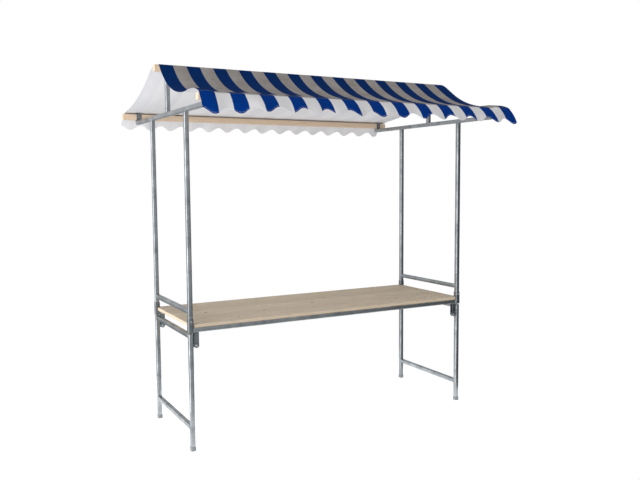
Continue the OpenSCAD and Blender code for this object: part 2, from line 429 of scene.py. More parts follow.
@dataclass(frozen=True)
class StripedCanvas:
    """Coated polyester awning canvas, woven white and blue and printed on the outside only.
    The eye sees clean stripes, a fine weave close by, grey dust with painted shade on the
    slopes, and a painted highlight along the eave."""

    name: str
    stripe: float
    eave: float
    white: str = "#e6e5e7"
    blue: str = "#003789"
    # Slope colours: grey dust with painted shade, darker than the valance's stripes.
    white_dust_and_shade: str = "#938c87"
    blue_dust_and_shade: str = "#012a60"
    # Painted highlight colour for the eave's crease.
    eave_highlight: str = "#a9b1c0"
    thread: str = "#c9ccd4"
    thread_gap: float = 0.0016
    stitch_height: float = 0.009
    stitch_pace: float = 0.0045

    def make(self) -> Material:
        """Builds the material from the cloth's own flat coordinates in metres.

        Threads are waves 1.6 mm apart both ways, twice the real spacing, so that they
        show. The stitch line is a broken line 9 mm above the free edge. A painted highlight
        lightens the eave's crease by half a sine wave over 4 mm. Dust with painted shade
        darkens the slopes above the eave only.

        Returns:
            The material.
        """
        graph = Graph.of_material(self.name)
        cloth, over, down = graph.cloth()
        below = graph.math("ABSOLUTE", down)
        slope = graph.span(below, self.eave - 0.004, self.eave + 0.012, 1.0, 0.0)
        # Painted shade with dust: the slopes above the eave are darkened and greyed in blotches.
        dust_and_shade_blotch = graph.span(graph.noise(cloth, 7.0, 5.0, 0.6), 0.3, 0.7, 0.78, 1.0)
        dust_and_shade = graph.math("MULTIPLY", dust_and_shade_blotch, slope)
        white = graph.mix(dust_and_shade, self.white, self.white_dust_and_shade)
        blue = graph.mix(dust_and_shade, self.blue, self.blue_dust_and_shade)
        striped = graph.mix(graph.stripes(over, self.stripe), white, blue)
        # Painted highlight: a pale band 4 mm wide along the eave's crease.
        crease = graph.span(below, self.eave, self.eave + 0.004)
        eave_highlight = graph.math("SINE", graph.math("MULTIPLY", crease, math.pi))
        striped = graph.mix(graph.math("MULTIPLY", eave_highlight, 0.45), striped, self.eave_highlight)
        pace = FULL_TURN / self.thread_gap
        warp, weft = (graph.math("SINE", graph.math("MULTIPLY", at, pace)) for at in (over, down))
        weave = graph.math("MULTIPLY", warp, weft)
        lit = {0: striped, "Scale": graph.span(weave, -1.0, 1.0, 0.9, 1.04)}
        woven = add_node(graph.tree, "VectorMath", lit, operation="SCALE").outputs[0]
        edge = add_node(graph.tree, "Attribute", attribute_name="above_edge").outputs["Fac"]
        off_line = graph.math("ABSOLUTE", graph.math("SUBTRACT", edge, self.stitch_height))
        on_line = graph.math("LESS_THAN", off_line, 0.0007)
        step = graph.math("FRACT", graph.math("MULTIPLY", over, 1 / self.stitch_pace))
        stitch = graph.math("MULTIPLY", on_line, graph.math("LESS_THAN", step, 0.68))
        colour = graph.mix(stitch, woven, self.thread)
        sockets = {"Base Color": colour, "Roughness": 0.75, "Specular IOR Level": 0.04}
        return graph.finish(sockets, weave, 0.00008)


@dataclass(frozen=True)
class CanvasBacking:
    """The plain coated inside of the canvas. The eye sees a matt off-white, with the stripes
    of the outside just showing through."""

    name: str
    stripe: float
    white: str = "#dfdfe2"
    shadow: str = "#d3d4da"

    def make(self) -> Material:
        """Builds the material: stripes as on the outside, nearly white, with slow blotches.

        Returns:
            The material.
        """
        graph = Graph.of_material(self.name)
        cloth, over, _ = graph.cloth()
        blotch = graph.noise(cloth, 5.0, 4.0)
        amount = graph.math("MULTIPLY", graph.stripes(over, self.stripe), blotch)
        colour = graph.mix(amount, self.white, self.shadow)
        sockets = {"Base Color": colour, "Roughness": 0.7}
        return graph.finish(sockets, graph.noise(cloth, 700.0, 1.0), 0.00006)


# ---------------------------------------------------------------- shapes


def along_length(path: Array) -> Array:
    """Works out the distance from the start at each point of a path.

    Args:
        path: the path's points.

    Returns:
        The distances, from 0.
    """
    return np.concatenate([[0], np.cumsum(np.linalg.norm(np.diff(path, axis=0), axis=1))])


def rounded_outline(
    width: float, height: float, radius: float, count: int = 0
) -> tuple[Array, Array]:
    """Works out a rectangle with quarter-circle corners.

    Each corner is its centre, set in by the radius, plus the radius times the cosine and
    sine of the angle. The normal is that cosine and sine.

    Args:
        width: size along the first axis.
        height: size along the second axis.
        radius: corner radius.
        count: points at even steps along the outline, or 0 for four points a corner.

    Returns:
        Points and outward normals.
    """
    radius = max(min(radius, width / 2 - 1e-5, height / 2 - 1e-5), 1e-5)
    start = np.repeat(np.arange(4), 7) * math.pi / 2
    turn, quarter = np.tile(np.linspace(0, math.pi / 2, 7), 4) + start, math.pi / 4 + start
    normal = np.stack([np.cos(turn), np.sin(turn)], 1)
    way = np.sign(np.stack([np.cos(quarter), np.sin(quarter)], 1))
    points = way * (np.array([width, height]) / 2 - radius) + radius * normal
    if not count:
        keep = (np.arange(4)[:, None] * 7 + np.array([0, 2, 4, 6])).ravel()
        return points[keep], normal[keep]
    both = np.concatenate([points, normal], 1)
    both = np.concatenate([both, both[:1]])
    length = along_length(both[:, :2])
    at = np.linspace(0, length[-1], count, endpoint=False)
    made = np.stack([np.interp(at, length, both[:, i]) for i in range(4)], 1)
    return made[:, :2], made[:, 2:]


def lay_along(local: Array, axis: Axis) -> Array:
    """Turns points with their length last into the stall's axes, by a cyclic shift."""
    return np.roll(local, axis.value + 1, axis=-1)


def rounded_rings(
    axis: Axis,
    stations: Array | list,
    size: Array | tuple,
    corner: Array | float,
    centre: Array | tuple,
) -> Array:
    """Carries a rounded rectangle along an axis. Each ring is set in all round by its inset,
    which comes off the corner's radius too.

    Args:
        axis: the axis it is carried along.
        stations: place along the axis and inset of each ring.
        size: its two sizes, for all rings or one pair a ring.
        corner: the corner's radius before the inset, for all rings or one a ring.
        centre: its middle, for all rings or one a ring.

    Returns:
        The rings.
    """
    count = len(stations)
    sizes, centres = np.broadcast_to(size, (count, 2)), np.broadcast_to(centre, (count, 2))
    rings = []
    for (place, inset), (width, height), round_by, middle in zip(
        stations, sizes, np.broadcast_to(corner, count), centres
    ):
        outline, _ = rounded_outline(width - 2 * inset, height - 2 * inset, round_by - inset)
        ring = np.column_stack([outline + middle, np.full(len(outline), place)])
        rings.append(lay_along(ring, axis))
    return np.stack(rings)


def volume_of(points: Array, quads: Array) -> float:
    """Works out six times the volume inside quads, as the sum of their corner products."""
    a, b, c, d = (points[quads[:, i]] for i in range(4))
    return float((a * np.cross(b, c)).sum() + (a * np.cross(c, d)).sum())


class Shells:
    """Closed shells that together become one mesh, with every face outwards."""

    def __init__(self) -> None:
        """Starts with no shells."""
        self.points: list[Array] = []
        self.faces: list[list[int]] = []
        self.slots: list[int] = []
        self.count = 0

    def add_rings(self, rings: Array, slot: int = 0, looped: bool = False) -> None:
        """Skins rows of points, each row a closed ring, and closes or loops the two ends.

        The shell is turned round where its volume comes out negative.

        Args:
            rings: rows by columns by 3.
            slot: material slot.
            looped: whether the last row joins the first.
        """
        rows, columns = rings.shape[:2]
        index = np.arange(rows * columns).reshape(rows, columns)
        ahead = np.roll(index, -1, axis=1)
        if looped:
            corners = [index, ahead, np.roll(ahead, -1, axis=0), np.roll(index, -1, axis=0)]
        else:
            corners = [index[:-1], ahead[:-1], ahead[1:], index[1:]]
        quads = np.stack(corners, -1).reshape(-1, 4)
        flat = rings.reshape(-1, 3)
        volume = volume_of(flat, quads)
        caps = [] if looped else [index[0][::-1], index[-1]]
        for cap in caps:
            ring = flat[cap]
            volume += (ring.mean(0) * np.cross(ring, np.roll(ring, -1, axis=0))).sum()
        faces = quads.tolist() + [cap.tolist() for cap in caps]
        if volume < 0:
            faces = [face[::-1] for face in faces]
        self.points.append(flat)
        self.faces += [[i + self.count for i in face] for face in faces]
        self.slots += [slot] * len(faces)
        self.count += len(flat)

    def make(self, name: str) -> Piece:
        """Makes the object, smooth but for its sharp edges.

        Args:
            name: the piece's name.

        Returns:
            The new object, at the origin.
        """
        mesh = bpy.data.meshes.new(name)
        mesh.from_pydata(np.concatenate(self.points).tolist(), [], self.faces)
        mesh.polygons.foreach_set("material_index", np.array(self.slots, np.int32))
        return place_mesh(mesh, SHARP_ANGLE)


def place_mesh(mesh: bpy.types.Mesh, sharp: float) -> Piece:
    """Shades a mesh and puts it in the scene as an object of the same name.

    Args:
        mesh: the finished mesh.
        sharp: the angle from which an edge is sharp.

    Returns:
        The new object.
    """
    mesh.shade_smooth()
    mesh.set_sharp_from_angle(angle=sharp)
    mesh.update()
    return link(bpy.data.objects.new(mesh.name, mesh))


def link(made: Piece) -> Piece:
    """Puts an object in the scene."""
    bpy.context.scene.collection.objects.link(made)
    return made


def box_of(node: str) -> tuple[Array, Array]:
    """Reads a CAD node's lowest and highest corners, in metres."""
    low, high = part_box(node)
    return np.array(low), np.array(high)


def middle_of(node: str) -> Array:
    """Reads the middle of a CAD node's box, in metres."""
    return np.mean(box_of(node), axis=0)


def mount(
    piece: Piece,
    slot: Slot,
    materials: list[Material],
    *nodes: str,
    body: str = "stall",
) -> None:
    """Gives a piece its finishes, ties it to its body, and hides the CAD nodes that it stands for.

    Args:
        piece: the finished object.
        slot: the record's material slot; not used.
        materials: its materials in slot order.
        nodes: the CAD nodes that it stands for.
        body: the CAD body that it moves with.
    """
    for material in materials:
        piece.data.materials.append(material)
    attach(piece, body)
    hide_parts(*nodes)
    LOG.info("%s: %d faces on %s", piece.name, len(piece.data.polygons), body)


@dataclass
class SquareTube:
    """A square steel tube with rolled corners, along one axis."""

    axis: Axis
    start: float
    end: float
    centre: Array | tuple[float, float]
    width: float = 0.030
    mouths: tuple[Mouth, Mouth] = (Mouth.BUTTED, Mouth.BUTTED)
    corner: float = 0.0035
    wall: float = 0.002
    soft: float = 0.0006
    ripple: float = 0.005

    @classmethod
    def from_node(
        cls, node: str, mouths: tuple[Mouth, Mouth] = (Mouth.BUTTED, Mouth.BUTTED)
    ) -> "SquareTube":
        """Takes a tube's place from the CAD node of the same tube.

        Args:
            node: the CAD node's name.
            mouths: how its lower and upper ends are made.

        Returns:
            The tube.
        """
        low, high = box_of(node)
        along = int(np.argmax(high - low))
        across = [(along + 1) % 3, (along + 2) % 3]
        centre = ((low + high) / 2)[across]
        width = float((high - low)[across[0]])
        return cls(Axis(along), float(low[along]), float(high[along]), centre, width, mouths)

    def build(self, shells: Shells) -> None:
        """Adds the tube to some shells, as the rounded square set in by each mouth's profile.

        Args:
            shells: what to add to.
        """
        soft, wall = self.soft, self.wall
        profiles = {
            Mouth.OPEN: ((0.09, wall), (soft, wall), (0.0, wall - soft), (0.0, soft), (soft, 0.0)),
            Mouth.PLATED: ((0.0, 0.0016), (0.0004, 0.0006), (0.0014, 0.0)),
            Mouth.BUTTED: ((0.0, 0.0),),
        }
        first = [(self.start + depth, inset) for depth, inset in profiles[self.mouths[0]]]
        last = [(self.end - depth, inset) for depth, inset in profiles[self.mouths[1]]]
        size = (self.width, self.width)
        stations = first + last[::-1]
        shells.add_rings(rounded_rings(self.axis, stations, size, self.corner, self.centre))

    def weld(self, shells: Shells, place: float, bead: float = 0.0024) -> None:
        """Adds a weld bead round the tube.

        The bead is a small circle carried round the tube's outline, whose radius swells
        and shrinks every 5 mm as the welder's hand moved.

        Args:
            shells: what to add to.
            place: where along the tube's axis the joint is.
            bead: the bead's mean radius.
        """
        outline, normal = rounded_outline(self.width, self.width, self.corner, 64)
        step = np.linspace(0, FULL_TURN, len(outline), endpoint=False)
        ripples = round(4 * self.width / self.ripple)
        radius = bead * (1 + 0.16 * np.sin(ripples * step) + 0.1 * np.sin(5 * step + place))
        turn = np.linspace(0, FULL_TURN, 8, endpoint=False)
        out = outline[:, None] + normal[:, None] * (radius[:, None] * np.cos(turn))[..., None]
        high = place + radius[:, None] * np.sin(turn)
        local = np.concatenate([out + np.array(self.centre), high[..., None]], axis=-1)
        shells.add_rings(lay_along(local, self.axis), looped=True)


@dataclass
class Turned:
    """A turned or hexagonal part about an axis, such as a bolt's head, a nut or a washer."""

    centre: Array
    axis: Axis
    facing: float

    def add(self, shells: Shells, profile: tuple, sides: int = 0, slot: int = 0) -> None:
        """Adds one part of revolution.

        Each ring has the profile's radius at the profile's height. For a hexagon it is the
        lesser of that radius and the flat's distance over the cosine of the angle from
        the flat's middle, so a taper in the profile cuts the corners off.

        Args:
            shells: what to add to.
            profile: radius and height pairs, from the seat outwards.
            sides: 6 for a hexagon, or 0 for round.
            slot: material slot.
        """
        turn = np.linspace(0, FULL_TURN, 36, endpoint=False)
        limit = np.full(len(turn), max(radius for radius, _ in profile))
        if sides:
            span = FULL_TURN / sides
            limit *= math.cos(span / 2) / np.cos(np.mod(turn, span) - span / 2)
        rings = []
        for radius, height in profile:
            size, high = np.minimum(limit, radius), np.full(len(turn), height * self.facing)
            local = np.stack([size * np.cos(turn), size * np.sin(turn), high], 1)
            rings.append(lay_along(local, self.axis) + self.centre)
        shells.add_rings(np.stack(rings), slot)


def add_strip(
    shells: Shells, path: Array, half: Array, x: float, thick: float, closed: bool
) -> None:
    """Adds a flat steel strip bent along a path in the YZ plane.

    Its section at each path point is a rounded rectangle, as thick as the strip and twice
    the half width wide. The thickness lies along the path's normal, the tangent turned by
    a quarter.

    Args:
        shells: what to add to.
        path: points of the strip's middle, as Y and Z.
        half: half the width along X at each point.
        x: the middle of the strip along X.
        thick: the strip's thickness.
        closed: whether the path closes on itself.
    """
    if closed:
        tangent = np.roll(path, -1, axis=0) - np.roll(path, 1, axis=0)
    else:
        tangent = np.gradient(path, axis=0)
    tangent /= np.linalg.norm(tangent, axis=1)[:, None]
    normal = np.stack([-tangent[:, 1], tangent[:, 0]], 1)
    section, _ = rounded_outline(2.0, thick, thick * 0.3)
    across = x + section[None, :, 0] * half[:, None]
    yz = path[:, None] + normal[:, None] * section[None, :, 1:]
    shells.add_rings(np.concatenate([across[..., None], yz], axis=-1), looped=closed)


def bent_path(corners: Array, radius: float, closed: bool) -> Array:
    """Rounds the corners of a path of straight pieces.

    At each corner the path leaves the straight one radius before it, and follows the
    curve (1 - t)^2 A + 2 t (1 - t) C + t^2 B through to one radius after it.

    Args:
        corners: the corner points.
        radius: the distance at which the curve starts.
        closed: whether the last corner joins the first.

    Returns:
        The rounded path.
    """
    into, out = (np.roll(corners, turn, axis=0) - corners for turn in (1, -1))
    into /= np.linalg.norm(into, axis=1)[:, None]
    out /= np.linalg.norm(out, axis=1)[:, None]
    t = np.linspace(0, 1, 6)[None, :, None]
    a, b = (corners + into * radius)[:, None], (corners + out * radius)[:, None]
    curve = (1 - t) ** 2 * a + 2 * t * (1 - t) * corners[:, None] + t**2 * b
    if closed:
        return curve.reshape(-1, 2)
    return np.concatenate([corners[:1], curve[1:-1].reshape(-1, 2), corners[-1:]])


def even_path(corners: Array, radius: float, count: int) -> tuple[Array, Array]:
    """Rounds an open path's corners and puts points at even steps along it.

    Args:
        corners: the corner points.
        radius: the distance at which the curve starts.
        count: how many points to make.

    Returns:
        The new points, and their distance from the nearer end.
    """
    path = bent_path(corners, radius, False)
    length = along_length(path)
    at = np.linspace(0, length[-1], count)
    made = np.stack([np.interp(at, length, path[:, i]) for i in (0, 1)], 1)
    return made, np.minimum(at, at[-1] - at)


# ---------------------------------------------------------------- sub-assemblies


@dataclass
class Workshop:
    """The finishes that the parts share, and the making of a plain welded tube."""

    tube: Material
    fitting: Material
    bolt: Material
    plastic: Material
    foot: Material

    @classmethod
    def open(cls) -> "Workshop":
        """Makes the shared finishes.

        Returns:
            The finishes.
        """
        return cls(
            GalvanisedSteel("hot-dip galvanised tube", "#bcc2c6", "#8f969b").make(),
            GalvanisedSteel(
                "hot-dip galvanised fitting", "#a3aaaf", "#70777c", 5.0, 50.0, 0.24, 0.42
            ).make(),
            ZincBolt().make(),
            MouldedPlastic().make(),
            MouldedPlastic("moulded grey polyethylene", "#7f8488", "#a9adb0").make(),
        )

    def build_tube(
        self, node: str, body: str = "stall", start: bool = True, bead: float = 0.0024
    ) -> None:
        """Builds the tube of one CAD node with a weld at its upper end, and at its start.

        Args:
            node: the CAD node's name.
            body: the CAD body that it moves with.
            start: whether its start is welded too.
            bead: the welds' mean radius.
        """
        tube = SquareTube.from_node(node)
        shells = Shells()
        tube.build(shells)
        for place in (tube.start, tube.end) if start else (tube.end,):
            tube.weld(shells, place, bead)
        mount(shells.make(node + "_tube"), Slot.TUBE, [self.tube], node, body=body)


@dataclass
class TableFrame:
    """The rails, cross bars and corner sockets under and round the table."""

    shop: Workshop
    socket_wall: float = 0.0027
    socket_corner: float = 0.0045
    socket_floor: float = 0.006
    screw_height: float = 0.892

    def build(self) -> None:
        """Builds the rails, the cross bars and the four sockets."""
        for side in Side:
            self.shop.build_tube(f"{side.word}_table_rail")
        self.build_cross_bars()
        for end in End:
            for side in Side:
                self.build_socket(end, side)

    def build_cross_bars(self) -> None:
        """Builds the two bars that tie the rails together, in one piece."""
        node = "table_cross_bars"
        low, high = box_of(node)
        half = (high[2] - low[2]) / 2
        shells = Shells()
        for x in (low[0] + half, high[0] - half):
            tube = SquareTube(Axis.Y, float(low[1]), float(high[1]), (low[2] + half, x))
            tube.build(shells)
            tube.weld(shells, tube.start)
            tube.weld(shells, tube.end)
        mount(shells.make("table_cross_bar_tubes"), Slot.TUBE, [self.shop.tube], node)

    def build_socket(self, end: End, side: Side) -> None:
        """Builds one corner socket: an open tube with a floor, a boss and a clamp screw.

        Args:
            end: left or right.
            side: front or rear.
        """
        node = f"{side.word}_{end.word}_socket"
        low, high = box_of(node)
        middle, width, wall = (low + high) / 2, high[0] - low[0], self.socket_wall
        stations = [
            (low[2], 0.0018),
            (low[2] + 0.0018, 0.0),
            (high[2] - 0.0008, 0.0),
            (high[2], 0.0008),
            (high[2], wall - 0.0006),
            (high[2] - 0.0006, wall),
            (low[2] + self.socket_floor, wall),
        ]
        shells = Shells()
        size = (width, width)
        shells.add_rings(rounded_rings(Axis.Z, stations, size, self.socket_corner, middle[:2]))
        face = np.array([middle[0], middle[1] + side.value * width / 2, self.screw_height])
        screw = Turned(face, Axis.Y, side.value)
        screw.add(shells, ((0.0085, -0.001), (0.0085, 0.003), (0.0078, 0.0042)))
        head = ((0.0072, 0.0042), (0.0072, 0.0082), (0.0068, 0.0094), (0.0058, 0.0098))
        screw.add(shells, head, 6, 1)
        finishes = [self.shop.fitting, self.shop.bolt]
        mount(shells.make(node + "_tube"), Slot.FITTING, finishes, node)


@dataclass
class TableTop:
    """Five pine boards laid lengthwise, cut back round the sockets and screwed down."""

    shop: Workshop
    edge: float = 0.0025
    gap: float = 0.004
    screw_radius: float = 0.0042
    screw_in: float = 0.035
    bar_half: float = 0.015
    seed: int = 11
    grey: str = "#aea9a1"

    def build(self) -> None:
        """Builds the five boards, each with its own early and late wood and knots."""
        boards = (
            ("#e2d0b7", "#c5ae92", Knot(0.31, -0.335, 0.008), Knot(-0.74, -0.285, 0.006)),
            ("#deccb3", "#c0a98d", Knot(-0.487, -0.154, 0.010), Knot(0.66, -0.2, 0.008)),
            (
                "#e5d3ba",
                "#c7b195",
                Knot(-0.893, -0.019, 0.010),
                Knot(-0.023, -0.040, 0.010),
                Knot(0.88, 0.03, 0.007),
            ),
            ("#dbc9b0", "#bda68a", Knot(0.18, 0.14, 0.009)),
            ("#e1cfb6", "#c3ac8f", Knot(-0.35, 0.3, 0.008), Knot(0.79, 0.35, 0.009)),
        )
        made = []
        for i, (early, late, *knots) in enumerate(boards):
            low, high = box_of(f"table_board_{i + 1}")
            pith = ((low + high)[1] / 2 + 0.02 * (-1) ** i, low[2] - 0.02 - 0.012 * (i % 3))
            name, ring_mm = f"planed pine board {i + 1}", 5.5 + 0.4 * (i % 2)
            pine = Pine(name, early, late, self.grey, pith, ring_mm, i + 1.0, 0.42, tuple(knots))
            made.append(pine.make())
        for i, pine in enumerate(made):
            self.build_board(i + 1, pine)

    def build_board(self, index: int, pine: Material) -> None:
        """Builds one board as sections carried along X.

        A section is a rectangle with eased corners. Its middle wanders by half a
        millimetre in slow waves, and next to a socket it is narrower by the notch.

        Args:
            index: the board's number from the front.
            pine: its finish.
        """
        node = f"table_board_{index}"
        low, high = box_of(node)
        rng = np.random.default_rng(self.seed + index)
        front, rear = box_of("front_left_socket")[1], box_of("rear_left_socket")[0]
        notch_x = front[0] + self.gap
        notches = {1: front[1] + self.gap - low[1], 5: high[1] - rear[1] + self.gap}
        notch = notches.get(index, 0.0)
        ease = self.edge * 0.5
        ends = np.array([low[0], low[0] + ease, notch_x, notch_x])
        cut = np.array([notch, notch, notch, 0.0])
        inner = np.linspace(notch_x, -notch_x, 46)[1:-1]
        places = np.concatenate([ends, inner, -ends[::-1]])
        cuts = np.concatenate([cut, np.zeros(len(inner)), cut[::-1]])
        insets = np.zeros(len(places))
        insets[[0, -1]] = ease
        phase = rng.uniform(0, FULL_TURN, 4)
        wave = 0.0005 * np.sin(2.1 * places + phase[0]) + 0.0002 * np.sin(7 * places + phase[1])
        rise = 0.0006 * np.sin(1.7 * places + phase[2]) + 0.0002 * np.sin(6 * places + phase[3])
        y0, y1 = low[1] + cuts * (index == 1), high[1] - cuts * (index == 5)
        size = np.column_stack([y1 - y0, np.full(len(places), high[2] - low[2])])
        level = (low[2] + high[2]) / 2 + np.minimum(rise, 0.0004)
        centre = np.column_stack([(y0 + y1) / 2 + wave * 0.5, level])
        stations = np.column_stack([places, insets])
        shells = Shells()
        shells.add_rings(rounded_rings(Axis.X, stations, size, self.edge, centre))
        bar_low, bar_high = box_of("table_cross_bars")
        for x in (bar_low[0] + self.bar_half, bar_high[0] - self.bar_half):
            for y in (low[1] + self.screw_in, high[1] - self.screw_in):
                spot = np.array([x + rng.uniform(-0.003, 0.003), y, high[2] + 0.0004])
                self.add_screw(shells, spot)
        mount(shells.make(node + "_plank"), Slot.TABLE, [pine, self.shop.bolt], node)

    def add_screw(self, shells: Shells, top: Array) -> None:
        """Adds a flush wood screw's head with a star-shaped hole.

        The hole's radius is a constant plus a wave of six periods round the screw.

        Args:
            shells: what to add to.
            top: the middle of the head's top.
        """
        turn = np.linspace(0, FULL_TURN, 36, endpoint=False)
        star = 0.0016 + 0.0003 * np.cos(6 * turn)
        full = np.full(len(turn), self.screw_radius)
        layers = ((full * 0.6, -0.003), (full, -0.0006), (full * 0.97, 0.0), (star, 0.0))
        rings = [
            np.stack([r * np.cos(turn), r * np.sin(turn), np.full(len(turn), z)], 1) + top
            for r, z in (*layers, (star, -0.0016))
        ]
        shells.add_rings(np.stack(rings), 1)


@dataclass
class LegFrame:
    """One folding pair of legs with its bars, hinge lugs and foot caps."""

    shop: Workshop
    end: End
    lug_radius: float = 0.012
    lug_width: float = 0.020
    lug_ease: float = 0.001
    cap_width: float = 0.035
    cap_corner: float = 0.005

    def build(self) -> None:
        """Builds the legs, the bars and the foot caps."""
        word = self.end.word
        body = f"{word}_leg_frame"
        for side in Side:
            self.build_leg(side, body)
        for level in ("top", "low"):
            self.shop.build_tube(f"{word}_leg_{level}_bar", body)
        self.build_caps(body)

    def build_leg(self, side: Side, body: str) -> None:
        """Builds one leg: the tube, its top plate and the hinge lug welded to its inner face.

        The lug's outline is a half circle about the pivot with two straight sides back to
        the leg. It is carried along Y, set in a little at both faces.

        Args:
            side: front or rear.
            body: the CAD body that it moves with.
        """
        node = f"{side.word}_{self.end.word}_leg"
        low, high = box_of(node)
        x = middle_of(f"{self.end.word}_foot_caps")[0]
        y, width = (low[1] + high[1]) / 2, high[1] - low[1]
        mouths = (Mouth.BUTTED, Mouth.PLATED)
        shells = Shells()
        SquareTube(Axis.Z, low[2], high[2], (x, y), width, mouths).build(shells)
        pivot_x, _, pivot_z = middle_of(f"{self.end.word}_pivot_bolts")
        root = -(abs(x - pivot_x) - width / 2) - 0.001
        turn = np.linspace(-math.pi / 2, math.pi / 2, 17)
        half, ease = self.lug_width / 2, self.lug_ease
        rings = []
        for place, inset in ((-half, ease), (-half + ease, 0.0), (half - ease, 0.0), (half, ease)):
            r = self.lug_radius - inset
            out = np.append(r * np.cos(turn), [root, root])
            up = np.append(r * np.sin(turn), [r, -r])
            level = np.full(len(out), y + place)
            rings.append(np.column_stack([pivot_x - self.end.value * out, level, pivot_z + up]))
        shells.add_rings(np.stack(rings))
        mount(shells.make(node + "_tube"), Slot.TUBE, [self.shop.tube], node, body=body)

    def build_caps(self, body: str) -> None:
        """Builds the two ribbed foot caps.

        Each ring is the rounded square at one height. Three grooves set it in by 0.7 mm,
        and the lip turns in to the tube at the top.

        Args:
            body: the CAD body that they move with.
        """
        node = f"{self.end.word}_foot_caps"
        low, high = box_of(node)
        top, width = high[2], self.cap_width
        stations = [(0.0, 0.003), (0.0012, 0.0008), (0.003, 0.0)]
        for groove in (0.009, 0.015, 0.021):
            stations += [(groove - 0.0012, 0.0), (groove - 0.0004, 0.0007)]
            stations += [(groove + 0.0004, 0.0007), (groove + 0.0012, 0.0)]
        stations += [(top - 0.0012, 0.0), (top - 0.0003, 0.0004), (top, 0.0014)]
        stations += [(top - 0.0006, 0.0024)]
        shells = Shells()
        for y in (low[1] + width / 2, high[1] - width / 2):
            centre = ((low[0] + high[0]) / 2, y)
            rings = rounded_rings(Axis.Z, stations, (width, width), self.cap_corner, centre)
            shells.add_rings(rings)
        mount(shells.make(node + "_moulding"), Slot.FOOT, [self.shop.foot], node, body=body)


@dataclass
class LegHinges:
    """The two bent brackets of one leg frame, with their bolts."""

    shop: Workshop
    end: End
    plate: float = 0.004
    half_width: float = 0.017
    outer_width: float = 0.030
    bend: float = 0.0055
    least: float = 0.0012

    def build(self) -> None:
        """Builds the brackets and the bolts of this end."""
        word = self.end.word
        plates, pivots = f"{word}_hinge_brackets", f"{word}_pivot_bolts"
        low, high = box_of(plates)
        x, pivot_z = (low[0] + high[0]) / 2, middle_of(pivots)[2]
        brackets, bolts = Shells(), Shells()
        for side in Side:
            y = side.value * (high[1] - self.outer_width / 2)
            self.add_bracket(brackets, x, y, low[2], high[2])
            self.add_bolt(bolts, np.array([x, y, pivot_z]), side)
        steel, zinc = [self.shop.fitting], [self.shop.bolt]
        mount(brackets.make(f"{word}_hinge_plates"), Slot.FITTING, steel, plates)
        mount(bolts.make(f"{word}_hinge_bolts"), Slot.BOLT, zinc, pivots)

    def add_bracket(self, shells: Shells, x: float, y: float, low: float, high: float) -> None:
        """Adds one bracket, a strip bent over into a U that opens downwards.

        Its half width is the bracket's, and within one half width of each end it follows a
        half circle: the root of w squared less the square of w less the distance.

        Args:
            shells: what to add to.
            x: its middle along X.
            y: its middle along Y.
            low: height of the rounded ends.
            high: height of the top face.
        """
        half = (self.outer_width - self.plate) / 2
        top = high - self.plate / 2
        corners = np.array([[y - half, low], [y - half, top], [y + half, top], [y + half, low]])
        path, from_end = even_path(corners, self.bend, 90)
        w = self.half_width
        circle = np.sqrt(np.maximum(w**2 - (w - np.minimum(from_end, w)) ** 2, 0))
        add_strip(shells, path, np.maximum(circle, self.least), x, self.plate, False)

    def add_bolt(self, shells: Shells, middle: Array, side: Side) -> None:
        """Adds one pivot bolt: washers, a hexagon head outside, a nut and a thread end inside.

        Args:
            shells: what to add to.
            middle: the middle of the bolt.
            side: the side that the head faces.
        """
        half = self.outer_width / 2
        head = ((0.008, 0.0008), (0.008, 0.0034), (0.0076, 0.0042), (0.0066, 0.0045))
        for facing in (side.value, -side.value):
            part = Turned(middle + np.array([0, facing * half, 0]), Axis.Y, facing)
            part.add(shells, ((0.0092, -0.0005), (0.0092, 0.0007), (0.0088, 0.0011)))
            part.add(shells, head, 6)
            if facing == -side.value:
                part.add(shells, ((0.0048, 0.004), (0.0048, 0.0072), (0.0042, 0.0079)))
        shank = Turned(middle - np.array([0, half, 0]), Axis.Y, 1.0)
        shank.add(shells, ((0.005, 0.0), (0.005, 2 * half)))


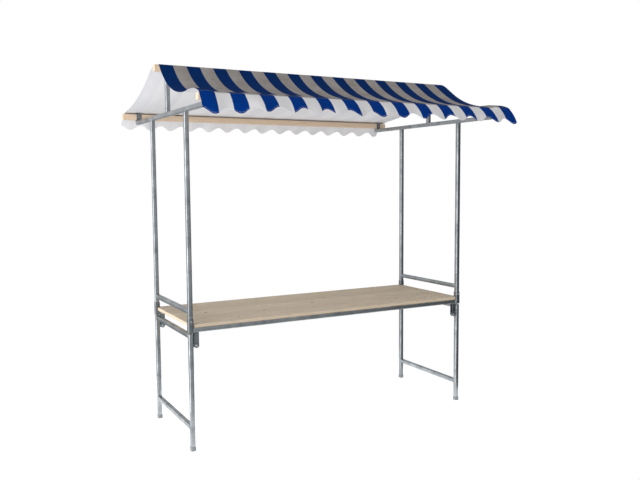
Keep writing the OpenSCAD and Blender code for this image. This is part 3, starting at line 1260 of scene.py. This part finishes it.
@dataclass
class EndFrame:
    """One plug-in end frame: two posts, the end rail, the roof beam, the king post and the
    three lath brackets."""

    shop: Workshop
    end: End
    strap: float = 0.004
    strap_half: float = 0.018
    strap_bend: float = 0.0045
    strap_gap: float = 0.001
    cradle_round: float = 0.006
    king_bead: float = 0.0021

    def build(self) -> None:
        """Builds every part of this end frame."""
        word = self.end.word
        for side in Side:
            self.shop.build_tube(f"{side.word}_{word}_post", start=False)
        self.shop.build_tube(f"{word}_end_rail")
        self.build_beam()
        self.shop.build_tube(f"{word}_king_post", bead=self.king_bead)
        self.build_brackets()

    def build_beam(self) -> None:
        """Builds the roof beam with a plastic plug in each open end."""
        node = f"{self.end.word}_roof_beam"
        tube = SquareTube.from_node(node, (Mouth.OPEN, Mouth.OPEN))
        shells = Shells()
        tube.build(shells)
        depths = np.array([-0.012, -0.0004, 0.0002, 0.0016, 0.0024])
        insets = np.array([0.0024, 0.0024, 0.0012, 0.0014, 0.0034])
        corner, size = tube.corner - 0.001 + insets, (tube.width, tube.width)
        for place, facing in ((tube.start, -1.0), (tube.end, 1.0)):
            stations = np.column_stack([place + facing * depths, insets])
            shells.add_rings(rounded_rings(tube.axis, stations, size, corner, tube.centre), 1)
        finishes = [self.shop.tube, self.shop.plastic]
        mount(shells.make(node + "_tube"), Slot.TUBE, finishes, node)

    def walls(self, lath: str) -> tuple[float, float, float, float]:
        """Works out where the straps' middles run past a lath.

        Args:
            lath: the lath's CAD node.

        Returns:
            The lower and upper Y, and the lower and upper Z.
        """
        low, high = box_of(lath)
        out = self.strap_gap + self.strap / 2
        return low[1] - out, high[1] + out, low[2] - self.strap / 2, high[2] + out

    def build_brackets(self) -> None:
        """Builds the closed straps round the eave laths and the open cradle of the ridge lath,
        each with its rivets."""
        node = f"{self.end.word}_lath_brackets"
        x, top = middle_of(node)[0], box_of(node)[1][2]
        shells = Shells()
        half = self.strap / 2
        for side in Side:
            y0, y1, z0, z1 = self.walls(f"{side.word}_eave_lath")
            corners = np.array([[y0, z0], [y1, z0], [y1, z1], [y0, z1]])
            path = bent_path(corners, self.strap_bend, True)
            add_strip(shells, path, np.full(len(path), self.strap_half), x, self.strap, True)
            inner = (y1 + half) if side is Side.FRONT else (y0 - half)
            rivet = Turned(np.array([x, inner, (z0 + z1) / 2]), Axis.Y, -side.value)
            rivet.add(shells, RIVET, 0, 1)
        y0, y1, z0, _ = self.walls("ridge_lath")
        corners = np.array([[y0, top], [y0, z0], [y1, z0], [y1, top]])
        path, from_end = even_path(corners, self.strap_bend, 60)
        r = self.cradle_round
        circle = np.sqrt(np.maximum(r**2 - (r - np.minimum(from_end, r)) ** 2, 0))
        add_strip(shells, path, self.strap_half - r + circle, x, self.strap, False)
        for facing, y in ((-1.0, y0 - half), (1.0, y1 + half)):
            rivet = Turned(np.array([x, y, (z0 + top) / 2 + 0.006]), Axis.Y, facing)
            rivet.add(shells, RIVET, 0, 1)
        finishes = [self.shop.fitting, self.shop.bolt]
        mount(shells.make(node + "_straps"), Slot.FITTING, finishes, node)


@dataclass
class Laths:
    """The three square pine laths that carry the canopy."""

    corner: float = 0.003
    ease: float = 0.001
    grey: str = "#beb4a7"

    def build(self) -> None:
        """Builds the three laths, each with its own pine, pith and wave."""
        for node, early, late, off, seed in (
            ("front_eave_lath", "#e3cdb4", "#c9aa88", 0.004, 1.3),
            ("ridge_lath", "#e4cfb6", "#caac8a", -0.006, 2.6),
            ("rear_eave_lath", "#e5ceb5", "#ccac89", 0.008, 3.9),
        ):
            y, low = middle_of(node)[1], box_of(node)[0]
            name, pith = f"planed pine {node.replace('_', ' ')}", (y + off, low[2] - 0.006)
            knots = (Knot(-0.32 + 0.2 * seed, y - 0.004, 0.006),)
            pine = Pine(name, early, late, self.grey, pith, 4.0, seed, 0.16, knots).make()
            self.build_lath(node, pine, seed)

    def build_lath(self, node: str, pine: Material, seed: float) -> None:
        """Builds one lath as rounded squares carried along X, with a slow 0.4 mm wave.

        Args:
            node: the CAD node's name.
            pine: its finish.
            seed: phase of the wave.
        """
        low, high = box_of(node)
        inner = np.linspace(low[0] + 0.02, high[0] - 0.02, 40)
        first, last = [low[0], low[0] + self.ease], [high[0] - self.ease, high[0]]
        places = np.concatenate([first, inner, last])
        insets = np.zeros(len(places))
        insets[[0, -1]] = self.ease
        wave = np.stack([0.0004 * np.sin(2.3 * places + seed), np.zeros(len(places))], 1)
        stations = np.column_stack([places, insets])
        size, centre = (high - low)[1:], (low[1:] + high[1:]) / 2 + wave
        shells = Shells()
        shells.add_rings(rounded_rings(Axis.X, stations, size, self.corner, centre))
        mount(shells.make(node + "_wood"), Slot.LATH, [pine], node)


@dataclass
class Canopy:
    """One striped sheet over the ridge and both eave laths, with a scalloped valance on each
    side. It sags between the laths, droops in front at its left edge, and its rear half lies
    a little to the left."""

    stripes: int = 25
    sheet: float = 0.0012
    sag: float = 0.076
    skew: float = 0.042
    lift: float = 0.022
    strap_rise: float = 0.0060
    corner_rise: float = 0.0135
    droop: float = 0.032
    pull: float = 0.026
    valance_low: float = 0.160
    valance_high: float = 0.117
    scallop: float = 0.168
    first_low: float = 0.074
    ridge_half: float = 0.021
    columns: int = 240
    slope_rows: int = 66
    valance_rows: int = 17

    def __post_init__(self) -> None:
        """Takes the canopy's place from its CAD nodes and the laths."""
        low, high = box_of("front_canopy")
        self.left, self.width, self.ridge_z = float(low[0]), float(high[0] - low[0]), high[2]
        lath = box_of("rear_eave_lath")[1]
        self.beam_x = float(middle_of("right_roof_beam")[0])
        self.fold = (lath[1] + 0.0075, lath[2] + self.sheet + 0.0009)
        self.along, self.line, self.eave = self.section()

    def section(self) -> tuple[Array, Array, float]:
        """Works out the outer face's line from the ridge over the eave, for the rear half.

        The slope falls in a straight line less a sag of s u (1 - u)^1.5, scaled to its
        greatest value, where u runs from 0 at the ridge lath's edge to 1 at the eave. The
        valance leaves the eave 30 degrees below the level and steepens evenly. The whole
        line is then averaged over 9 mm, which rounds the two lath edges.

        Returns:
            Distance along the line, its Y and Z as an array, and the eave's distance.
        """
        u = np.linspace(0, 1, 1500)
        fall = self.sag * u * (1 - u) ** 1.5 / (0.4 * 0.6**1.5)
        slope_y = self.ridge_half + u * (self.fold[0] - self.ridge_half)
        slope_z = self.ridge_z + u * (self.fold[1] - self.ridge_z) - fall
        slope = np.stack([slope_y, slope_z], 1)
        reach = np.linspace(0, self.valance_low + 0.01, 400)
        angle = np.radians(30 + 200 * reach)
        way = np.stack([np.cos(angle), -np.sin(angle)], 1)
        skirt = slope[-1] + np.cumsum(way, axis=0) * (reach[1] - reach[0])
        flat = np.stack([np.linspace(-0.06, self.ridge_half, 200), np.full(200, self.ridge_z)], 1)
        line = np.concatenate([flat, slope[1:], skirt])
        length = along_length(line)
        fine = np.arange(0, length[-1], 0.0005)
        even = (np.interp(fine, length, line[:, i]) for i in (0, 1))
        window = np.ones(19) / 19
        smooth = np.stack([np.convolve(part, window, "same") for part in even], 1)[12:-12]
        smooth = smooth[int(np.argmin(np.abs(smooth[:, 0]))) :]
        smooth[0, 0] = 0.0
        along = along_length(smooth)
        return along, smooth, float(np.interp(self.fold[0] + 0.0005, smooth[:, 0], along))

    def surface(self) -> tuple[Array, Array, Array]:
        """Works out the outer face on a grid of places across and along the cloth.

        The valance's length is a mean plus a cosine with one period a scallop. Behind, the
        cloth shifts to the left, seven tenths of it within a few centimetres of the ridge
        and the rest evenly.

        Returns:
            Points, flat cloth coordinates, and the distance above the free edge.
        """
        eave, over = self.eave, np.linspace(0, self.width, self.columns)
        at_ridge = np.linspace(0, 0.04, 9)[1:]
        on_slope = np.linspace(0.04, eave - 0.03, self.slope_rows)[1:]
        at_eave = np.linspace(eave - 0.03, eave + 0.01, 12)[1:]
        slope_at = np.concatenate([at_ridge, on_slope, at_eave])
        mean = (self.valance_low + self.valance_high) / 2
        swing = (self.valance_low - self.valance_high) / 2
        hang = mean + swing * np.cos(FULL_TURN * (over - self.first_low) / self.scallop)
        share = np.linspace(0, 1, self.valance_rows)[1:, None]
        skirt = (eave + 0.01) + share * (hang[None] - 0.01)
        half = np.concatenate([np.repeat(slope_at[:, None], self.columns, 1), skirt])
        reach = np.concatenate([-half[::-1], np.zeros((1, self.columns)), half])
        down, side = np.abs(reach), np.sign(reach)
        jump = 0.7 * (1 - np.exp(-down / 0.03)) + 0.3 * down / eave
        x = self.left + over[None] + np.where(reach > 0, -self.skew * jump, 0.0)
        y = np.interp(down, self.along, self.line[:, 0]) * side
        z = np.interp(down, self.along, self.line[:, 1])
        z = self.drape(x, z, down, side, over)
        y, z = self.swing_skirt(x, y, z, down, side, over)
        cloth = np.stack([np.repeat(over[None], len(reach), 0), reach], -1)
        return np.stack([x, y, z], -1), cloth, np.clip((eave + hang[None]) - down, 0, 1)

    def drape(self, x: Array, z: Array, down: Array, side: Array, over: Array) -> Array:
        """Adds what the cloth's own weight and its supports do to the slopes.

        The left edge droops in front, and is lifted behind, in a parabola of u that dies
        away over 0.28 m, and the right edge is pulled up near the ridge. The cloth is
        lifted in a bell over each strap and, in front, on past it to the corner. Slow
        waves of three lengths lie across the slopes.

        Args:
            x: place along the stall.
            z: height.
            down: distance from the ridge along the cloth.
            side: -1 in front and 1 behind.
            over: distance from the cloth's left edge.

        Returns:
            The new heights.
        """
        u = np.clip(down / self.eave, 0, 1)
        on_slope = np.where(down > self.eave, 0.0, 1.0)
        free = (1 - np.exp(-np.clip(u - 0.03, 0, 1) / 0.06)) * on_slope
        belly = np.clip(4 * u * (1 - u), 0, 1) ** 0.8 * on_slope
        left = np.exp(-over[None] / 0.28) * np.clip(1 - ((u - 0.34) / 0.44) ** 2, 0, 1)
        right = np.exp(-(self.width - over[None]) / 0.25) * np.exp(-((u / 0.3) ** 2))
        waves = (
            0.0014 * np.sin(FULL_TURN * over / 0.41 + 0.6 + 2.2 * u)
            + 0.0009 * np.sin(FULL_TURN * over / 0.173 + 1.9 - 1.5 * u)
            + 0.0005 * np.sin(FULL_TURN * over / 0.097 + side)
        )
        past = np.clip((np.abs(x) - (self.beam_x - 0.055)) / 0.09, 0, 1)
        corner = past**2 * (3 - 2 * past) * np.exp(-(((down - self.eave + 0.095) / 0.1) ** 2))
        over_strap = np.exp(-(((np.abs(x) - self.beam_x) / 0.036) ** 2))
        over_strap = over_strap * np.exp(-(((down - self.eave) / 0.05) ** 2))
        droop = np.where(side < 0, self.droop, -self.lift)
        z = z - free * (droop * left - self.pull * right) + belly * waves
        rise = np.where(side < 0, self.corner_rise, 0.0) * corner
        return z + self.strap_rise * over_strap + rise

    def swing_skirt(
        self,
        x: Array,
        y: Array,
        z: Array,
        down: Array,
        side: Array,
        over: Array,
    ) -> tuple[Array, Array]:
        """Turns the front skirt down at its ends and waves both skirts in and out.

        The turn is about the eave, by up to 14 degrees at the left and 5 at the right. The
        waves are two sines that grow towards the free edge.

        Args:
            x: place along the stall.
            y: place across.
            z: height.
            down: distance from the ridge along the cloth.
            side: -1 in front and 1 behind.
            over: distance from the cloth's left edge.

        Returns:
            The new places across and the new heights.
        """
        t = np.clip((down - self.eave) / self.valance_low, 0, 1)
        soft = np.clip((0.42 - over) / 0.3, 0, 1)
        turn = np.radians(14) * soft**2 * (3 - 2 * soft)
        turn = turn + np.radians(5) * np.clip((over - self.width + 0.25) / 0.2, 0, 1)
        turn = turn[None] * np.clip(t * 6, 0, 1) * (side < 0)
        out, drop = np.abs(y) - self.fold[0], z - self.fold[1]
        y = side * (self.fold[0] + out * np.cos(turn) + drop * np.sin(turn))
        z = self.fold[1] + drop * np.cos(turn) - out * np.sin(turn)
        slow = 0.0035 * np.sin(FULL_TURN * x / 0.31 + 1.1 * side)
        quick = 0.0022 * np.sin(FULL_TURN * x / 0.137 + 2.0)
        return y + side * (slow + quick) * t, z

    def make_mesh(self) -> Piece:
        """Makes the sheet: the outer face, the inner face set in along the normals, and the
        rim between them, with the flat coordinates and the height above the free edge.

        Returns:
            The sheet's object.
        """
        points, cloth, above = self.surface()
        rows, columns = points.shape[:2]
        normal = np.cross(np.gradient(points, axis=1), np.gradient(points, axis=0))
        normal /= np.linalg.norm(normal, axis=2)[..., None]
        normal *= np.where(normal[rows // 2, columns // 2, 2] > 0, 1.0, -1.0)
        inner = points - normal * self.sheet
        count = rows * columns
        index = np.arange(count).reshape(rows, columns)
        corners = [index[:-1, :-1], index[:-1, 1:], index[1:, 1:], index[1:, :-1]]
        outside = np.stack(corners, -1).reshape(-1, 4)
        border = np.concatenate([index[0, :-1], index[:-1, -1], index[-1, :0:-1], index[:0:-1, 0]])
        ahead = np.roll(border, -1)
        rim = np.stack([ahead, border, border + count, ahead + count], -1)
        faces = np.concatenate([outside, outside[:, ::-1] + count, rim])
        flat = np.concatenate([points.reshape(-1, 3), inner.reshape(-1, 3)])
        if volume_of(flat, faces) < 0:
            faces = faces[:, ::-1]
        mesh = bpy.data.meshes.new("canopy_sheet")
        mesh.from_pydata(flat.tolist(), [], faces.tolist())
        is_inner = np.zeros(len(faces), np.int32)
        is_inner[len(outside) : 2 * len(outside)] = 1
        mesh.polygons.foreach_set("material_index", is_inner)
        corner = np.zeros(len(mesh.loops), np.int32)
        mesh.loops.foreach_get("vertex_index", corner)
        uv = np.tile(cloth.reshape(-1, 2), (2, 1))[corner].astype(np.float32)
        mesh.uv_layers.new(name="cloth").data.foreach_set("uv", uv.ravel())
        edge = mesh.attributes.new("above_edge", "FLOAT", "POINT")
        edge.data.foreach_set("value", np.tile(above.ravel(), 2).astype(np.float32))
        return place_mesh(mesh, CLOTH_SHARP_ANGLE)

    def build(self) -> None:
        """Builds the sheet, with its stripes outside and its plain coat inside."""
        sheet, stripe = self.make_mesh(), self.width / self.stripes
        name = "coated polyester canvas"
        outer = StripedCanvas(f"{name}, striped", stripe, self.eave).make()
        backing = CanvasBacking(f"{name}, plain inside", stripe).make()
        nodes = ("front_canopy", "rear_canopy", "front_valance", "rear_valance")
        mount(sheet, Slot.CANVAS, [outer, backing], *nodes)


# ---------------------------------------------------------------- the studio


@dataclass
class Studio:
    """A plain pale floor, soft light mainly from the left, and the camera."""

    floor_x: tuple[float, float] = (-3.0, 1.42)
    floor_y: tuple[float, float] = (-1.5, 1.5)
    lamp: tuple[float, float, float] = (-5.6, -1.4, 1.7)
    lamp_size: float = 4.6
    lamp_power: float = 190.0
    lit: tuple[float, float, float] = (0.0, 0.0, 1.1)
    eye: tuple[float, float, float] = (-2.6411, -4.9395, 1.8202)
    heading: float = 0.5025
    tilt: float = 0.0827
    lean: float = -0.0065
    lens: float = 40.165

    def build(self) -> None:
        """Builds the floor, the light and the camera."""
        self.build_floor()
        self.build_world()
        self.build_lamp()
        self.build_camera()

    def build_floor(self) -> None:
        """Builds the floor as a flat sheet: a light table whose glow keeps it near white."""
        graph = Graph.of_material("white studio floor")
        glow = add_node(graph.tree, "Emission", {"Color": "#ffffff", "Strength": 0.93})
        matt = add_node(graph.tree, "BsdfDiffuse", {"Color": "#9a9a9a"})
        both = add_node(graph.tree, "AddShader", {0: glow.outputs[0], 1: matt.outputs[0]})
        add_node(graph.tree, "OutputMaterial", {"Surface": both.outputs[0]})
        mesh = bpy.data.meshes.new("studio_floor")
        (x0, x1), (y0, y1) = self.floor_x, self.floor_y
        corners = [(x0, y0, 0), (x1, y0, 0), (x1, y1, 0), (x0, y1, 0)]
        mesh.from_pydata(corners, [], [(0, 1, 2, 3)])
        mesh.materials.append(graph.owner)
        link(bpy.data.objects.new("studio_floor", mesh))

    def build_world(self) -> None:
        """Builds the soft room round the stall.

        What the camera sees is plain white. What lights the stall is a band of wall that is
        bright at the left and behind, a dimmer ceiling, a dark floor some way off, and a
        dark bell towards the front right, where the studio is open and unlit.
        """
        bpy.context.scene.world = bpy.data.worlds.new("studio room")
        graph = Graph(bpy.context.scene.world)
        ray = graph.place("Generated")
        height = add_node(graph.tree, "SeparateXYZ", {0: ray}).outputs[2]
        room = graph.ramp(
            graph.span(height, -1.0, 1.0),
            (0.0, "#e7e7e7"),
            (0.29, "#dadada"),
            (0.33, "#616161"),
            (0.385, "#8a8a8a"),
            (0.41, "#c2c2c2"),
            (0.475, "#cfcfcf"),
            (0.57, "#cfcfcf"),
            (0.68, "#a8a8a8"),
            (1.0, "#a8a8a8"),
        )
        unlit, lit, backdrop = (
            graph.span(
                graph.vector("DOT_PRODUCT", ray, way, output=1), rim, top, out, full, "SMOOTHSTEP"
            )
            for way, rim, top, out, full in (
                ((0.78, -0.62, -0.05), 0.88, 0.965, 1.0, 0.03),
                ((-0.95, -0.3, 0.1), 0.35, 0.95, 0.0, 1.15),
                ((-0.1, 0.96, 0.26), 0.88, 0.99, 0.0, 0.2),
            )
        )
        dimmed = graph.math("MULTIPLY", room, unlit)
        total = graph.math("ADD", dimmed, graph.math("ADD", lit, backdrop))
        light, white = (
            add_node(graph.tree, "Background", {0: "#ffffff", 1: strength}).outputs[0]
            for strength in (total, 1.0)
        )
        seen = add_node(graph.tree, "LightPath").outputs["Is Camera Ray"]
        both = add_node(graph.tree, "MixShader", {0: seen, 1: light, 2: white})
        add_node(graph.tree, "OutputWorld", {"Surface": both.outputs[0]})

    def build_lamp(self) -> None:
        """Hangs a large soft box at the left, level with the table."""
        lamp = bpy.data.lights.new("left soft box", "AREA")
        lamp.shape, lamp.size, lamp.energy = "DISK", self.lamp_size, self.lamp_power
        holder = link(bpy.data.objects.new("left soft box", lamp))
        place = np.array(self.lamp)
        holder.matrix_world = self.looking(place, np.array(self.lit) - place, 0)

    def looking(self, eye: Array, ahead: Array, lean: float) -> Matrix:
        """Works out a matrix at a place that looks one way with its top up.

        Right is the look turned level by a quarter, up is right crossed with ahead, and
        the lean turns both about the look.

        Args:
            eye: the place.
            ahead: the way it looks.
            lean: roll about the look, in radians.

        Returns:
            The matrix.
        """
        ahead = ahead / np.linalg.norm(ahead)
        right = np.cross(ahead, (0.0, 0.0, 1.0))
        right /= np.linalg.norm(right)
        up = np.cross(right, ahead)
        turned = math.cos(lean) * right + math.sin(lean) * up
        top = -math.sin(lean) * right + math.cos(lean) * up
        made = np.eye(4)
        made[:3] = np.stack([turned, top, -ahead, eye], 1)
        return Matrix(made.tolist())

    def build_camera(self) -> None:
        """Sets up the camera and the plain colour handling."""
        lens = bpy.data.cameras.new("camera")
        lens.lens, lens.sensor_width, lens.clip_end = self.lens, 36.0, 100.0
        camera = link(bpy.data.objects.new("camera", lens))
        flat = math.cos(self.tilt)
        level = (math.sin(self.heading) * flat, math.cos(self.heading) * flat)
        ahead = np.array([*level, -math.sin(self.tilt)])
        camera.matrix_world = self.looking(np.array(self.eye), ahead, self.lean)
        bpy.context.scene.camera = camera
        bpy.context.scene.view_settings.view_transform = "Standard"


def main() -> None:
    """Builds the stall's pieces in order, then the studio."""
    logging.basicConfig(level=logging.INFO, format="%(name)s %(message)s")
    shop = Workshop.open()
    TableFrame(shop).build()
    TableTop(shop).build()
    for end in End:
        LegFrame(shop, end).build()
        LegHinges(shop, end).build()
        EndFrame(shop, end).build()
    Laths().build()
    Canopy().build()
    Studio().build()


if __name__ == "__main__":
    main()
